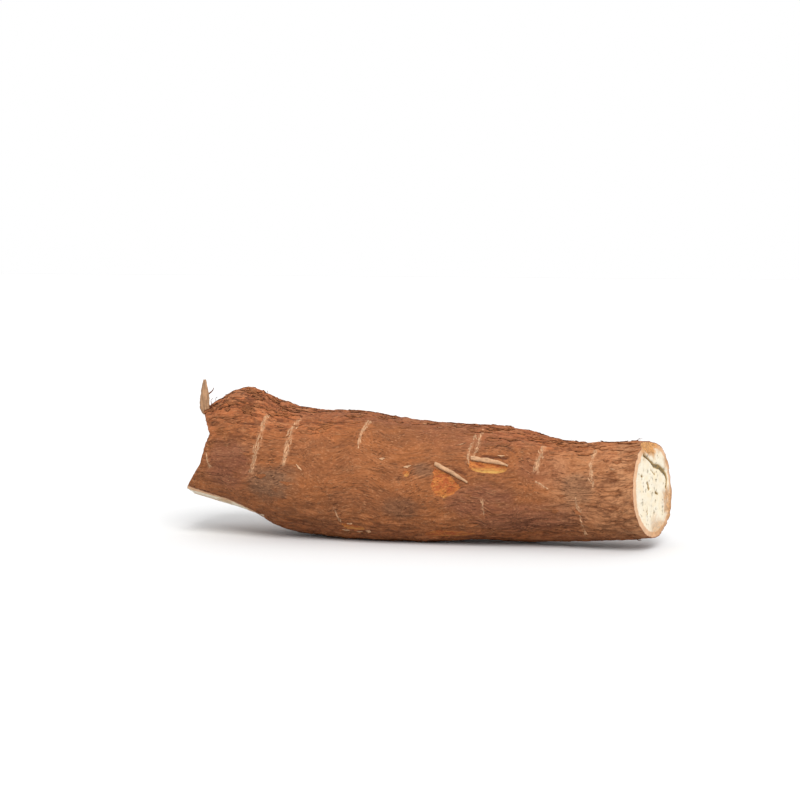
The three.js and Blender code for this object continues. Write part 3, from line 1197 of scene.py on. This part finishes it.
def lay_copy(template, place, length, width, thickness, lean, sunk=0.0, curl=0.0):
    """A copy of a template laid on the bark, its sizes in millimetres and its lean in degrees."""
    copy = copy_of(template)
    local = corners_of(copy)
    slant = math.radians(lean)
    run, rise = local[:, 0] * length / 2, local[:, 1] * width / 2
    along = place[0] + run * math.cos(slant) - rise * math.sin(slant)
    around = run * math.sin(slant) + rise * math.cos(slant)
    out = (local[:, 2] * thickness) - sunk + curl * local[:, 0] ** 2
    put_corners(copy, on_bark(along, place[1] + np.degrees(around / MIDDLE_RADIUS), out))
    return copy


def join(copies):
    """One object made of several."""
    make_active(copies[0])
    for copy in copies:
        copy.select_set(True)
    bpy.ops.object.join()
    return bpy.context.object


def remove(piece):
    bpy.data.objects.remove(piece, do_unlink=True)


# Single pale flakes: place, length and width in millimetres and lean in degrees.
PALE_FLAKES = [
    ((-12.7, 19), 3.0, 0.9, 8),
    ((0.4, 13.0), 4.2, 0.9, 14),
    ((4.5, 69), 3.5, 0.9, 5),
    ((12.9, 64), 4.0, 0.8, -6),
    ((47.4, 26.8), 4.2, 0.7, -3),
    ((19.5, 75), 3.2, 0.9, 4),
    ((-34.0, -51), 4.5, 1.2, -5),
    ((-27.5, -52), 5.0, 1.4, 8),
    ((-22.0, -50), 3.0, 1.0, -12),
    ((-31.0, -41.5), 3.5, 0.8, 12),
    ((-113.5, -27), 2.8, 1.4, -30),
    ((-111.5, -29), 2.2, 1.0, -20),
    ((103.0, 18), 3.0, 0.6, -14),
    ((26.0, 40), 6.0, 0.6, 28),
    ((-55.5, 9), 4.5, 0.6, -40),
]


# Bigger loose scraps of bark, given in the same way.
LOOSE_SCRAPS = [
    ((110.5, -62), 6.0, 2.2, -24),
    ((107.0, -66), 4.5, 1.6, 10),
    ((-119.5, -33), 3.0, 1.6, 30),
    ((86.0, -27), 5.0, 1.5, -40),
    ((104.0, 84), 7.0, 1.8, 4),
    ((96.0, 86), 6.0, 1.6, -5),
    ((111.0, 80), 4.0, 1.6, 8),
    ((-101.0, 84), 6.0, 2.0, 14),
    ((-108.5, 66), 4.0, 1.8, 30),
    ((-40.0, 120), 8.0, 2.4, -8),
    ((36.0, 168), 7.0, 2.2, 10),
    ((-86.0, 214), 6.0, 2.0, -12),
]


class CASSAVA_OT_flakes(bpy.types.Operator):
    """Scatters small lifted flakes of bark, most where the bark is rough"""

    bl_idname = "cassava.flakes"
    bl_label = "Flakes"

    def execute(self, context):
        look = context.scene.cassava_pieces
        colours = context.scene.cassava_colours
        draw = random.Random(look.seed)
        template = flake_template(6, 3.0)
        paints = [bark_paint(colours), dry_bark_paint(colours)]
        for paint in paints:
            template.data.materials.append(paint)
        copies = []
        while len(copies) < look.flakes:
            place = (draw.uniform(-116, 112), draw.uniform(-80, 240))
            chance, dry = draw.random(), draw.random()
            length, width = draw.uniform(3.5, 10.0), draw.uniform(0.8, 2.0)
            lean, curl = draw.gauss(0, 7), draw.uniform(0.0, 0.35)
            rough = mask_at("rough", *place)
            if chance > 0.05 + 0.95 * rough or mask_at("peel", *place) > 0.02 or meets_floor(*place):
                continue
            lift = 0.10 + 0.10 * rough
            copy = lay_copy(template, place, length, width, lift, lean, 0.05, curl)
            if dry > 0.9 and width < 1.3 and place[1] > 95:
                self.colour(copy, 1)
            copies.append(copy)
        for place, length, width, lean in PALE_FLAKES:
            copy = lay_copy(template, place, length, width, 0.16, lean, 0.02, 0.2)
            self.colour(copy, 1)
            copies.append(copy)
        for place, length, width, lean in LOOSE_SCRAPS:
            copies.append(lay_copy(template, place, length, width, 0.24, lean, 0.05, 0.5))
        remove(template)
        piece = join(copies)
        bpy.ops.object.shade_smooth_by_angle(angle=math.radians(35))
        finish_piece(piece, "bark_flakes", [])
        return {"FINISHED"}

    def colour(self, piece, index):
        piece.data.polygons.foreach_set("material_index", [index] * len(piece.data.polygons))


class CASSAVA_OT_scars(bpy.types.Operator):
    """Lays the pale fibres of the scars that run round the root"""

    bl_idname = "cassava.scars"
    bl_label = "Scars"

    def execute(self, context):
        look = context.scene.cassava_pieces
        draw = random.Random(look.seed + 1)
        template = flake_template(4, 1.2)
        copies = []
        for corners, wide in SCARS:
            for (x_a, turn_a), (x_b, turn_b) in zip(corners, corners[1:]):
                rise = math.radians(turn_b - turn_a) * MIDDLE_RADIUS
                run = x_b - x_a
                reach = math.hypot(run, rise)
                heading = math.degrees(math.atan2(rise, run))
                for _ in range(int(reach * (1 + wide) * look.scar_fibres)):
                    share = draw.random()
                    aside = draw.gauss(0, wide * 0.28)
                    place = (x_a + run * share + aside, turn_a + (turn_b - turn_a) * share)
                    length, width = draw.uniform(1.2, 4.2), draw.uniform(0.25, 0.6)
                    lean = heading + draw.gauss(0, 13)
                    copies.append(lay_copy(template, place, length, width, 0.12, lean, -0.02))
        remove(template)
        piece = join(copies)
        bpy.ops.object.shade_smooth_by_angle(angle=math.radians(35))
        finish_piece(piece, "scar_fibres", [scar_paint(context.scene.cassava_colours)])
        return {"FINISHED"}


# Curls of peeled bark over the two big bared places: route as (place, turn), and radius in millimetres.
CURLS = [
    ([(14.4, 15.8), (18.4, 12.6), (22.8, 9.0), (27.2, 4.8), (31.6, 0.2)], 0.95),
    ([(32.4, 22.8), (36.5, 21.8), (41.6, 20.6), (46.9, 18.8), (51.4, 16.4)], 1.05),
]


class CASSAVA_OT_curls(bpy.types.Operator):
    """Rolls up the strips of bark that were peeled back"""

    bl_idname = "cassava.curls"
    bl_label = "Curls"

    def execute(self, context):
        paint = dry_bark_paint(context.scene.cassava_colours)
        rolls = [self.roll(route, radius) for route, radius in CURLS]
        piece = join(rolls)
        bpy.ops.object.shade_smooth_by_angle(angle=math.radians(50))
        finish_piece(piece, "bark_curls", [paint])
        return {"FINISHED"}

    def roll(self, route, radius):
        """A strip rolled up along a route on the bark, open below and tapering to its ends."""
        steps, across = 36, 14
        deselect_all()
        bpy.ops.mesh.primitive_grid_add(x_subdivisions=steps, y_subdivisions=across, size=2)
        strip = bpy.context.object
        local = corners_of(strip)
        share = (local[:, 0] + 1) / 2
        bend = math.radians(270) + math.radians(310) * (local[:, 1] + 1) / 2
        stations = np.linspace(0, 1, len(route))
        along = np.interp(share, stations, [x for x, _ in route])
        turn = np.interp(share, stations, [t for _, t in route])
        uneven = noise_at(np.stack([along, share * 0, local[:, 1]], axis=1), 3.0, 2.0, 2, 9.0)
        swell = np.sin(np.pi * np.clip(0.22 + 0.78 * share, 0, 0.985)) ** 0.7
        slim = (0.12 + 0.88 * swell) * (1 + 0.5 * uneven)
        size = radius * slim * (1 - 0.12 * (local[:, 1] + 1))
        around = size * np.cos(bend)
        out = 0.55 * radius + size * np.sin(bend) * 0.9
        put_corners(strip, on_bark(along, turn + np.degrees(around / MIDDLE_RADIUS), out))
        thicken(strip, 0.28 * MM)
        face_outwards(strip)
        return strip


# The sliver of bark at the hacked rim: its left and right edges as (height, place along the root)
# and its middle as (height, place across), in millimetres.
SLIVER_LEFT = [
    (63.2, -113.4), (64.2, -114.8), (66.5, -115.6), (71, -115.4), (75.5, -114.8), (81.0, -113.7),
]
SLIVER_RIGHT = [
    (63.2, -109.4), (64.2, -108.0), (66.5, -111.0), (71, -111.4), (75.5, -111.9), (81.0, -113.3),
]
SLIVER_MIDDLE = [(63.2, -10.0), (66, -10.4), (73, -10.3), (81.0, -9.6)]


class CASSAVA_OT_sliver(bpy.types.Operator):
    """Stands the torn sliver of bark at the hacked rim"""

    bl_idname = "cassava.sliver"
    bl_label = "Sliver"

    def execute(self, context):
        steps, across = 40, 14
        deselect_all()
        bpy.ops.mesh.primitive_grid_add(x_subdivisions=across, y_subdivisions=steps, size=2)
        sliver = bpy.context.object
        local = corners_of(sliver)
        low, high = SLIVER_LEFT[0][0], SLIVER_LEFT[-1][0]
        up = low + (high - low) * (local[:, 1] + 1) / 2

        def edge(corners):
            return np.interp(up, [height for height, _ in corners], [place for _, place in corners])

        share = (local[:, 0] + 1) / 2
        grain = noise_at(np.stack([up, local[:, 0] * 3, up * 0], axis=1), 6.0, 0.9, 2, 21.0)
        tears = noise_at(np.stack([up, local[:, 0] * 0, up * 0], axis=1), 2.2, 1.0, 2, 31.0)
        along = edge(SLIVER_LEFT) * (1 - share) + edge(SLIVER_RIGHT) * share
        along = along + 0.35 * tears * np.abs(local[:, 0])
        slim = (edge(SLIVER_RIGHT) - edge(SLIVER_LEFT)) / 5
        deep = edge(SLIVER_MIDDLE) + slim * (0.26 * grain - 0.7 * (1 - local[:, 0] ** 2))
        put_corners(sliver, np.stack([along, deep, up], axis=1) * MM)
        thicken(sliver, -0.9 * MM)
        face_outwards(sliver)
        bpy.ops.object.shade_smooth_by_angle(angle=math.radians(45))
        finish_piece(sliver, "bark_sliver", [sliver_paint(context.scene.cassava_colours)])
        return {"FINISHED"}


# Fine roots and torn threads: start on the bark as (place, turn), then how far it runs along the
# root, round it and out of it, and its thickness, in millimetres.
HAIRS = [
    ((-109.8, 70), (2.4, 2.0, 3.0), 0.55),
    ((-108.0, 76), (1.6, 1.0, 2.2), 0.7),
    ((-110.4, 72), (-0.6, 2.5, 2.2), 0.4),
    ((-98.0, 96), (4.0, 3.0, 1.5), 0.35),
    ((-84.0, 100), (-3.0, 4.0, 1.6), 0.35),
    ((111.5, 84), (3.0, 1.5, 1.4), 0.4),
    ((109.0, 92), (4.5, 2.0, 1.2), 0.35),
    ((104.0, 88), (3.5, -1.0, 0.9), 0.35),
    ((112.5, -68), (3.0, -2.0, 0.8), 0.6),
    ((110.5, -60), (3.5, -1.5, 0.5), 0.5),
    ((-121.0, -22), (1.5, -3.0, 0.6), 0.6),
    ((-118.5, -26), (-1.0, -2.2, 0.4), 0.6),
    ((60.0, 150), (7.0, 3.0, 2.5), 0.4),
    ((-30.0, 190), (-6.0, 4.0, 2.8), 0.4),
    ((10.0, 128), (6.0, -4.0, 2.0), 0.4),
    ((-70.0, 178), (5.0, 5.0, 2.6), 0.4),
]


# Threads that stand free beside the sliver: start and run in millimetres, and thickness.
FREE_HAIRS = [
    ((-111.6, -9.6, 73.6), (2.9, -0.4, 3.2), 0.9),
    ((-112.2, -9.9, 70.0), (1.6, -0.8, 1.6), 0.5),
    ((-108.2, -8.0, 68.2), (1.2, -0.4, 1.4), 1.1),
]


class CASSAVA_OT_hairs(bpy.types.Operator):
    """Draws the fine dark roots and torn threads that stand out from the bark"""

    bl_idname = "cassava.hairs"
    bl_label = "Hairs"

    def execute(self, context):
        look = context.scene.cassava_pieces
        draw = random.Random(look.seed + 2)
        hairs = list(HAIRS)
        while len(hairs) < len(HAIRS) + look.fine_hairs:
            place = (draw.uniform(-112, 110), draw.uniform(-70, 240))
            run = (draw.uniform(-4, 4), draw.uniform(-2.5, 2.5), draw.uniform(0.1, 0.9))
            chance = draw.random()
            if chance < 0.15 + mask_at("rough", *place) and not meets_floor(*place):
                hairs.append((place, run, draw.uniform(0.16, 0.26)))
        hairs += FREE_HAIRS
        template = self.thread_template(7)
        threads = [self.hair(template, *hair, draw) for hair in hairs]
        remove(template)
        piece = join(threads)
        bpy.ops.object.shade_smooth()
        finish_piece(piece, "root_hairs", [hair_paint(context.scene.cassava_colours)])
        return {"FINISHED"}

    def thread_template(self, steps):
        """A straight rod up Z with five sides, cut into steps so that it can bend."""
        deselect_all()
        bpy.ops.mesh.primitive_cylinder_add(vertices=5, radius=1, depth=2, end_fill_type="TRIFAN")
        rod = bpy.context.object
        bpy.ops.object.mode_set(mode="EDIT")
        mesh = bmesh.from_edit_mesh(rod.data)
        sides = [e for e in mesh.edges if abs(e.verts[0].co.z - e.verts[1].co.z) > 1]
        bmesh.ops.subdivide_edges(mesh, edges=sides, cuts=steps - 1)
        bmesh.update_edit_mesh(rod.data)
        bpy.ops.object.mode_set(mode="OBJECT")
        return rod

    def hair(self, template, place, run, thickness, draw):
        """A bent thread, thin at its far end; it is rooted in the bark or, with a place as x, y, z,
        stands free."""
        thread = copy_of(template)
        local = corners_of(thread)
        share = (local[:, 2] + 1) / 2
        sway = draw.uniform(-0.25, 0.25)
        bow = np.sin(share * math.pi) * sway * math.hypot(run[0], run[1])
        spine, way = (self.free if len(place) == 3 else self.rooted)(place, run, share, bow)
        way /= np.linalg.norm(way, axis=1, keepdims=True) + 1e-12
        side = np.cross(way, np.array([0.0, -0.6, 0.8]))
        side /= np.linalg.norm(side, axis=1, keepdims=True) + 1e-12
        third = np.cross(way, side)
        radius = thickness / 2 * (1 - 0.65 * share)[:, None] * MM
        put_corners(thread, spine + radius * (side * local[:, :1] + third * local[:, 1:2]))
        face_outwards(thread)
        return thread

    def free(self, place, run, share, bow):
        """The middle line and heading of a thread in the air."""
        spine = (np.array(place) + share[:, None] * np.array(run)) * MM
        spine[:, 0] += bow * MM
        return spine, np.broadcast_to(np.array(run), spine.shape).copy()

    def rooted(self, place, run, share, bow):
        """The middle line and heading of a thread that grows from the bark."""
        ahead = 0.02  # share of the run to the point that the heading is taken from
        along = place[0] + run[0] * share + bow * 0.6
        around = run[1] * share + bow
        out = run[2] * np.sin(share * math.pi * 0.6) * 1.05 - 0.15 * (1 - share)
        spine = on_bark(along, place[1] + np.degrees(around / MIDDLE_RADIUS), out)
        further = np.degrees((around + run[1] * ahead) / MIDDLE_RADIUS)
        return spine, on_bark(along + run[0] * ahead, place[1] + further, out) - spine


# ---------------------------------------------------------------------------------------------
# The stage


class CASSAVA_OT_stage(bpy.types.Operator):
    """Adds the pale floor, the soft lights, the bright surroundings and the camera"""

    bl_idname = "cassava.stage"
    bl_label = "Stage"

    def execute(self, context):
        studio = context.scene.cassava_studio
        self.floor(studio)
        self.surroundings(context, studio)
        self.sun("key", (0.5, -1.0, 1.0), 35, studio.key)
        self.sun("fill", (-0.6, 0.5, 1.0), 60, studio.fill)
        self.camera(context, studio)
        return {"FINISHED"}

    def floor(self, studio):
        deselect_all()
        bpy.ops.mesh.primitive_plane_add(size=8)
        floor = bpy.context.object
        floor.name = "floor"
        paint = Paint("floor_white")
        shade = paint.grain(400, 400, 1, 0.5)
        paint.set("Base Color", paint.mix(shade, studio.floor, tint(studio.floor, 0.98)))
        paint.set("Roughness", 0.7)
        paint.set("Specular IOR Level", 0.1)
        floor.data.materials.append(paint.material)

    def surroundings(self, context, studio):
        world = bpy.data.worlds.new("studio")
        world.use_nodes = True
        background = world.node_tree.nodes["Background"]
        background.inputs["Color"].default_value = (1.0, 1.0, 1.0, 1.0)
        background.inputs["Strength"].default_value = studio.surroundings
        context.scene.world = world
        context.scene.view_settings.view_transform = "Standard"

    def sun(self, name, way, spread, strength):
        """A very soft, even light from that way, as wide in the sky as spread in degrees."""
        bpy.ops.object.light_add(type="SUN", location=Vector(way))
        lamp = bpy.context.object
        lamp.name = name
        lamp.data.angle = math.radians(spread)
        lamp.data.energy = strength
        lamp.rotation_euler = Vector(way).to_track_quat("Z", "Y").to_euler()

    def camera(self, context, studio):
        around, up = studio.azimuth, studio.elevation
        away = Vector((math.sin(around) * math.cos(up), -math.cos(around) * math.cos(up), math.sin(up)))
        aim = Vector(studio.aim)
        bpy.ops.object.camera_add(location=aim + away * studio.distance)
        camera = bpy.context.object
        camera.name = "camera"
        camera.rotation_euler = away.to_track_quat("Z", "Y").to_euler()
        camera.data.lens = studio.lens
        camera.data.sensor_width = 36
        camera.data.clip_end = 20
        context.scene.camera = camera


# ---------------------------------------------------------------------------------------------
# Settings


def colour_property(name, description, default):
    return bpy.props.FloatVectorProperty(
        name=name, description=description, default=default, subtype="COLOR", size=3, min=0, max=1
    )


def length_property(name, description, default):
    return bpy.props.FloatProperty(
        name=name, description=description, default=default, unit="LENGTH", subtype="DISTANCE",
        precision=5,
    )


class BarkSettings(bpy.types.PropertyGroup):
    """How finely the root is made and how rough its bark is"""

    columns: bpy.props.IntProperty(
        name="Columns", description="Faces round the root", default=380, min=24
    )
    rows: bpy.props.IntProperty(name="Rows", description="Faces along the bark", default=194, min=12)
    end_rings: bpy.props.IntProperty(
        name="End rings", description="Rings of faces on each cut end", default=30, min=3
    )
    axis_height: length_property("Axis height", "Height of the root's axis over the floor", 0.034)
    lump_height: length_property("Lump height", "Height of the slow lumps", 0.0006)
    wrinkle_height: length_property("Wrinkle height", "Height of the lengthwise wrinkles", 0.0005)
    fibre_height: length_property("Fibre height", "Height of the fine fibres", 0.00016)
    scale_step: length_property("Scale step", "How far the scales of bark stand out", 0.0007)
    crack_depth: length_property("Crack depth", "Depth of the lengthwise cracks", 0.0006)


class PieceSettings(bpy.types.PropertyGroup):
    """How many small pieces lie on the bark"""

    seed: bpy.props.IntProperty(name="Seed", description="Start of the random draws", default=11)
    flakes: bpy.props.IntProperty(
        name="Flakes", description="Number of lifted flakes", default=650, min=1
    )
    scar_fibres: bpy.props.FloatProperty(
        name="Scar fibres", description="Fibres in each square millimetre of a scar",
        default=0.48, min=0.1,
    )
    fine_hairs: bpy.props.IntProperty(
        name="Fine hairs", description="Number of very fine root hairs", default=60, min=1
    )


class ColourSettings(bpy.types.PropertyGroup):
    """Colours of the bark and of the cut flesh"""

    bark: colour_property("Bark", "Main brown of the bark", (0.224, 0.077, 0.027))
    bark_warm: colour_property("Warm bark", "Orange-brown of the bark", (0.250, 0.083, 0.0255))
    bark_red: colour_property("Red bark", "Reddish brown where the bark flakes", (0.430, 0.132, 0.046))
    bark_purple_and_shade: colour_property("Purple bark", "Purple-brown zones", (0.165, 0.058, 0.033))
    # Purple-brown of the bark, also used for the painted shade along the top of the root
    bark_grey: colour_property("Grey stain", "Grey-green stains", (0.130, 0.066, 0.036))
    bark_pale: colour_property("Pale bark", "Pale dry bark", (0.42, 0.20, 0.094))
    # partly painted shade in cracks and beneath ridges; also the hairs' own dark colour
    crack: colour_property("Crack", "Inside of the cracks", (0.066, 0.019, 0.008))
    scar: colour_property("Scar", "Pale scars round the root", (0.46, 0.255, 0.138))
    peeled: colour_property("Peeled", "Bared ochre under the bark", (0.395, 0.127, 0.028))
    peeled_dark: colour_property("Peeled dark", "Darker bared layer", (0.29, 0.068, 0.016))
    peeled_yellow: colour_property(
        "Peeled yellow", "Pale lower edge of the bared places", (0.45, 0.25, 0.065)
    )
    dry_bark: colour_property("Dry bark", "Underside of loosened bark", (0.46, 0.26, 0.14))
    flesh: colour_property("Flesh", "White starchy flesh", (0.64, 0.58, 0.465))
    flesh_warm: colour_property("Warm flesh", "Creamier flesh", (0.64, 0.53, 0.36))
    rind: colour_property("Rind", "Pinkish cream rind inside the bark", (0.56, 0.335, 0.195))
    ring: colour_property("Ring", "Line between the rind and the flesh", (0.55, 0.36, 0.20))
    vein: colour_property("Vein", "Dark dots in the flesh", (0.17, 0.14, 0.075))
    ochre: colour_property("Ochre", "Discoloured places of the cut", (0.37, 0.175, 0.055))
    crevice: colour_property("Crevice", "The split in the sawn face", (0.29, 0.175, 0.05))


class StudioSettings(bpy.types.PropertyGroup):
    """Camera, lights and floor"""

    azimuth: bpy.props.FloatProperty(
        name="Azimuth", description="Turn of the camera to the right of the front",
        default=math.radians(14), subtype="ANGLE",
    )
    elevation: bpy.props.FloatProperty(
        name="Elevation", description="Rise of the camera over the horizon",
        default=math.radians(5), subtype="ANGLE",
    )
    distance: length_property("Distance", "From the camera to its aim", 1.1455)
    aim: bpy.props.FloatVectorProperty(
        name="Aim", description="Where the camera looks", default=(-0.0113, 0.0006, 0.0716),
        subtype="TRANSLATION", unit="LENGTH", size=3,
    )
    lens: bpy.props.FloatProperty(
        name="Lens", description="Focal length in millimetres", default=100, min=10
    )
    key: bpy.props.FloatProperty(
        name="Key", description="Strength of the key light", default=3.1, min=0
    )
    fill: bpy.props.FloatProperty(
        name="Fill", description="Strength of the light from behind", default=0.2, min=0
    )
    surroundings: bpy.props.FloatProperty(
        name="Surroundings", description="Brightness of the white surroundings", default=1.0, min=0
    )
    floor: colour_property("Floor", "Colour of the floor", (0.648, 0.648, 0.648))


class CASSAVA_PT_panel(bpy.types.Panel):
    """Lists the root's pieces and their settings"""

    bl_idname = "CASSAVA_PT_panel"
    bl_label = "Cassava Root"
    bl_space_type = "VIEW_3D"
    bl_region_type = "UI"
    bl_category = "Cassava"

    def draw(self, context):
        for operator in OPERATORS:
            self.layout.operator(operator.bl_idname)
        for title in ("bark", "pieces", "colours", "studio"):
            group = getattr(context.scene, f"cassava_{title}")
            box = self.layout.box()
            for name in group.__annotations__:
                box.prop(group, name)


OPERATORS = (
    CASSAVA_OT_root,
    CASSAVA_OT_flakes,
    CASSAVA_OT_scars,
    CASSAVA_OT_curls,
    CASSAVA_OT_sliver,
    CASSAVA_OT_hairs,
    CASSAVA_OT_stage,
)
CLASSES = (BarkSettings, PieceSettings, ColourSettings, StudioSettings, *OPERATORS, CASSAVA_PT_panel)


def register():
    for cls in CLASSES:
        bpy.utils.register_class(cls)
    bpy.types.Scene.cassava_bark = bpy.props.PointerProperty(type=BarkSettings)
    bpy.types.Scene.cassava_pieces = bpy.props.PointerProperty(type=PieceSettings)
    bpy.types.Scene.cassava_colours = bpy.props.PointerProperty(type=ColourSettings)
    bpy.types.Scene.cassava_studio = bpy.props.PointerProperty(type=StudioSettings)


def unregister():
    del bpy.types.Scene.cassava_studio
    del bpy.types.Scene.cassava_colours
    del bpy.types.Scene.cassava_pieces
    del bpy.types.Scene.cassava_bark
    for cls in reversed(CLASSES):
        bpy.utils.unregister_class(cls)


def main():
    register()
    for operator in OPERATORS:
        group, name = operator.bl_idname.split(".")
        getattr(getattr(bpy.ops, group), name)()


if __name__ == "__main__":
    main()
